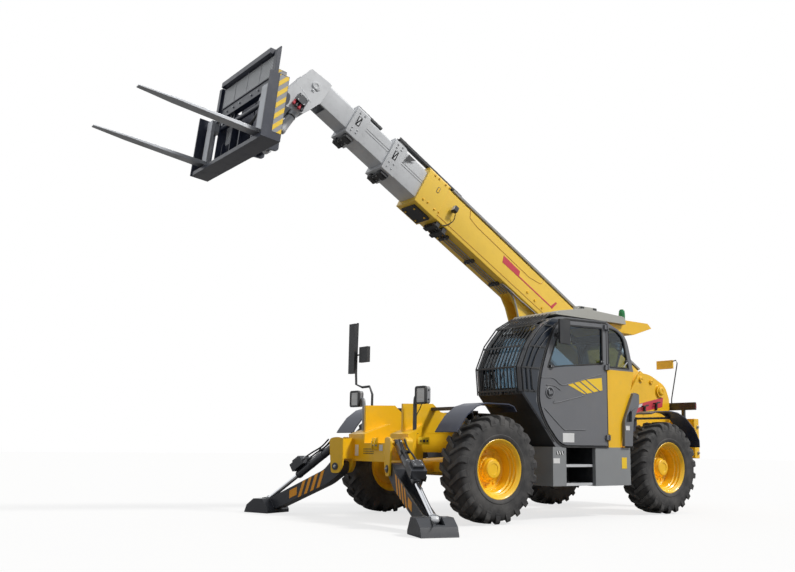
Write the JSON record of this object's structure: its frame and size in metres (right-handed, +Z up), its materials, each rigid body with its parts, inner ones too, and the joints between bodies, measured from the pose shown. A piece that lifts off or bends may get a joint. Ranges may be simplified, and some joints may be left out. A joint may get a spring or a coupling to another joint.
{
  "type": "telescopic handler",
  "caption": "High-reach telescopic handler with fork carriage, side cab, steered wheels, front stabilisers and a boom raised and part extended.",
  "frame": {"origin": "on the ground, under the middle of the machine's overall box", "axes": "+X forward along the machine, +Y to the cab side, +Z up"},
  "size_m": [8.6613, 3.8736, 5.139],
  "materials": {
    "beacon_green": "clear green lens",
    "black_plastic": "moulded black plastic",
    "boom_pale_paint": "satin pale grey",
    "cab_grey_paint": "satin mid grey",
    "carriage_paint": "satin dark blue-black",
    "chrome_rod": "ground hard chrome",
    "dark_paint": "satin charcoal",
    "engine_iron": "cast, dull grey",
    "fender_plastic": "moulded dark blue-black plastic",
    "fork_steel": "worn forged steel",
    "seat_vinyl": "black grained vinyl",
    "tyre_rubber": "matte black rubber",
    "wheel_paint": "semi-gloss orange-yellow",
    "yellow_paint": "semi-gloss machine paint, clear yellow"
  },
  "bodies": {
    "boom_base": {"boom_base": "yellow_paint"},
    "boom_head": {"boom_head": "boom_pale_paint"},
    "boom_section_2": {"boom_section_2": "boom_pale_paint"},
    "boom_section_3": {"boom_section_3": "boom_pale_paint"},
    "chassis": {"boom_tower": "yellow_paint", "cab_console": "black_plastic", "cab_frame": "cab_grey_paint", "cab_guard": "dark_paint", "cab_roof": "cab_grey_paint", "cab_steps": "cab_grey_paint", "chassis_frame": "yellow_paint", "counterweight": "yellow_paint", "drive_shaft": "engine_iron", "engine_block": "engine_iron", "engine_housing": "dark_paint", "front_axle": "yellow_paint", "front_fender_left": "fender_plastic", "front_fender_right": "fender_plastic", "front_mirror": "black_plastic", "headlamp_left": "black_plastic", "headlamp_right": "black_plastic", "operator_seat": "seat_vinyl", "rear_axle": "yellow_paint", "rear_fender_left": "fender_plastic", "rear_fender_right": "fender_plastic", "rear_lamps": "black_plastic", "rear_mirror": "black_plastic", "roof_beacon": "beacon_green"},
    "cab_door": {"cab_door": "cab_grey_paint", "cab_mirror": "black_plastic"},
    "engine_hood": {"engine_hood": "yellow_paint"},
    "carriage": {"fork_carriage": "carriage_paint", "fork_left": "fork_steel", "fork_right": "fork_steel"},
    "knuckle_front_left": {"knuckle_front_left": "yellow_paint"},
    "knuckle_front_right": {"knuckle_front_right": "yellow_paint"},
    "knuckle_rear_left": {"knuckle_rear_left": "yellow_paint"},
    "knuckle_rear_right": {"knuckle_rear_right": "yellow_paint"},
    "lift_cylinder_barrel": {"lift_cylinder_barrel": "yellow_paint"},
    "lift_cylinder_rod": {"lift_cylinder_rod": "chrome_rod"},
    "wheel_front_left": {"rim_front_left": "wheel_paint", "tyre_front_left": "tyre_rubber"},
    "wheel_front_right": {"rim_front_right": "wheel_paint", "tyre_front_right": "tyre_rubber"},
    "wheel_rear_left": {"rim_rear_left": "wheel_paint", "tyre_rear_left": "tyre_rubber"},
    "wheel_rear_right": {"rim_rear_right": "wheel_paint", "tyre_rear_right": "tyre_rubber"},
    "stabiliser_leg_left": {"stabiliser_leg_left": "dark_paint"},
    "stabiliser_leg_right": {"stabiliser_leg_right": "dark_paint"},
    "ram_left_barrel": {"stabiliser_ram_left_barrel": "dark_paint"},
    "ram_left_rod": {"stabiliser_ram_left_rod": "chrome_rod"},
    "ram_right_barrel": {"stabiliser_ram_right_barrel": "dark_paint"},
    "ram_right_rod": {"stabiliser_ram_right_rod": "chrome_rod"},
    "tilt_cylinder_barrel": {"tilt_cylinder_barrel": "dark_paint"},
    "tilt_cylinder_rod": {"tilt_cylinder_rod": "chrome_rod"}
  },
  "joints": [
    {"name": "boom_lift", "type": "hinge", "parent": "chassis", "child": "boom_base", "pos_m": [-3.92956, 0, 1.71], "axis": [0, -1, 0], "range_deg": [-32.3, 40.7]},
    {"name": "boom_extend", "type": "slide", "parent": "boom_base", "child": "boom_section_2", "axis": [0.8721, 0, 0.4894], "range_m": [-0.375, 3.5]},
    {"name": "section_3_extend", "type": "slide", "parent": "boom_section_2", "child": "boom_section_3", "axis": [0.8721, 0, 0.4894], "range_m": [-0.375, 3.5]},
    {"name": "head_extend", "type": "slide", "parent": "boom_section_3", "child": "boom_head", "axis": [0.8721, 0, 0.4894], "range_m": [-0.375, 3.5]},
    {"name": "lift_cylinder_swing", "type": "hinge", "parent": "chassis", "child": "lift_cylinder_barrel", "pos_m": [-3.46956, 0, 0.768], "axis": [0, -1, 0], "range_deg": [-29.4, 37]},
    {"name": "lift_cylinder_stroke", "type": "slide", "parent": "lift_cylinder_barrel", "child": "lift_cylinder_rod", "axis": [0.7884, 0, 0.6152], "range_m": [-0.5524, 0.6947]},
    {"name": "carriage_tilt", "type": "hinge", "parent": "boom_head", "child": "carriage", "pos_m": [2.51875, 0, 4.68647], "axis": [0, 1, 0], "range_deg": [-32, 45]},
    {"name": "tilt_cylinder_swing", "type": "hinge", "parent": "boom_head", "child": "tilt_cylinder_barrel", "pos_m": [2.09536, 0, 4.93622], "axis": [0, 1, 0], "range_deg": [-18.4, 25.9]},
    {"name": "tilt_cylinder_stroke", "type": "slide", "parent": "tilt_cylinder_barrel", "child": "tilt_cylinder_rod", "axis": [0.534, 0, -0.8455], "range_m": [-0.2098, 0.1506]},
    {"name": "stabiliser_left", "type": "hinge", "parent": "chassis", "child": "stabiliser_leg_left", "pos_m": [1.25044, 0.54, 0.6], "axis": [-0.9511, 0.309, 0], "range_deg": [-78, 0]},
    {"name": "ram_left_swing", "type": "hinge", "parent": "chassis", "child": "ram_left_barrel", "pos_m": [1.18993, 0.59646, 0.885], "axis": [-0.9511, 0.309, 0], "range_deg": [-82.9, 0.1]},
    {"name": "ram_left_stroke", "type": "slide", "parent": "ram_left_barrel", "child": "ram_left_rod", "axis": [0.2602, 0.8008, -0.5395], "range_m": [-0.3532, 0.005]},
    {"name": "stabiliser_right", "type": "hinge", "parent": "chassis", "child": "stabiliser_leg_right", "pos_m": [1.25044, -0.54, 0.6], "axis": [0.9511, 0.309, 0], "range_deg": [-78, 0]},
    {"name": "ram_right_swing", "type": "hinge", "parent": "chassis", "child": "ram_right_barrel", "pos_m": [1.18993, -0.59646, 0.885], "axis": [0.9511, 0.309, 0], "range_deg": [-82.9, 0.1]},
    {"name": "ram_right_stroke", "type": "slide", "parent": "ram_right_barrel", "child": "ram_right_rod", "axis": [0.2602, -0.8008, -0.5395], "range_m": [-0.3532, 0.005]},
    {"name": "steer_front_left", "type": "hinge", "parent": "chassis", "child": "knuckle_front_left", "pos_m": [0.20044, 0.783, 0.607], "axis": [0, 0, 1], "range_deg": [-35, 35]},
    {"name": "wheel_front_left", "type": "hinge", "parent": "knuckle_front_left", "child": "wheel_front_left", "pos_m": [0.20044, 1.008, 0.607], "axis": [0, 1, 0], "continuous": true},
    {"name": "steer_front_right", "type": "hinge", "parent": "chassis", "child": "knuckle_front_right", "pos_m": [0.20044, -0.783, 0.607], "axis": [0, 0, 1], "range_deg": [-35, 35]},
    {"name": "wheel_front_right", "type": "hinge", "parent": "knuckle_front_right", "child": "wheel_front_right", "pos_m": [0.20044, -1.008, 0.607], "axis": [0, 1, 0], "continuous": true},
    {"name": "steer_rear_left", "type": "hinge", "parent": "chassis", "child": "knuckle_rear_left", "pos_m": [-2.88956, 0.783, 0.607], "axis": [0, 0, 1], "range_deg": [-35, 35]},
    {"name": "wheel_rear_left", "type": "hinge", "parent": "knuckle_rear_left", "child": "wheel_rear_left", "pos_m": [-2.88956, 1.008, 0.607], "axis": [0, 1, 0], "continuous": true},
    {"name": "steer_rear_right", "type": "hinge", "parent": "chassis", "child": "knuckle_rear_right", "pos_m": [-2.88956, -0.783, 0.607], "axis": [0, 0, 1], "range_deg": [-35, 35]},
    {"name": "wheel_rear_right", "type": "hinge", "parent": "knuckle_rear_right", "child": "wheel_rear_right", "pos_m": [-2.88956, -1.008, 0.607], "axis": [0, 1, 0], "continuous": true},
    {"name": "cab_door", "type": "hinge", "parent": "chassis", "child": "cab_door", "pos_m": [-1.67756, 1.192, 1.6], "axis": [0, 0, 1], "range_deg": [0, 85]},
    {"name": "engine_hood", "type": "hinge", "parent": "chassis", "child": "engine_hood", "pos_m": [-1.38956, -0.407, 1.318], "axis": [-1, 0, 0], "range_deg": [0, 60]}
  ],
  "couplings": [
    {"joint": "section_3_extend", "follows": "boom_extend", "ratio": 1},
    {"joint": "head_extend", "follows": "boom_extend", "ratio": 1},
    {"joint": "lift_cylinder_swing", "follows": "boom_lift", "ratio": 0.90566},
    {"joint": "lift_cylinder_stroke", "follows": "boom_lift", "m_per_rad": 0.97095},
    {"joint": "tilt_cylinder_swing", "follows": "carriage_tilt", "ratio": 0.57138},
    {"joint": "tilt_cylinder_stroke", "follows": "carriage_tilt", "m_per_rad": -0.26071},
    {"joint": "ram_left_swing", "follows": "stabiliser_left", "ratio": 1.0605},
    {"joint": "ram_left_stroke", "follows": "stabiliser_left", "m_per_rad": 0.25578},
    {"joint": "ram_right_swing", "follows": "stabiliser_right", "ratio": 1.0605},
    {"joint": "ram_right_stroke", "follows": "stabiliser_right", "m_per_rad": 0.25578},
    {"joint": "steer_front_right", "follows": "steer_front_left", "ratio": 1},
    {"joint": "steer_rear_right", "follows": "steer_rear_left", "ratio": 1}
  ]
}
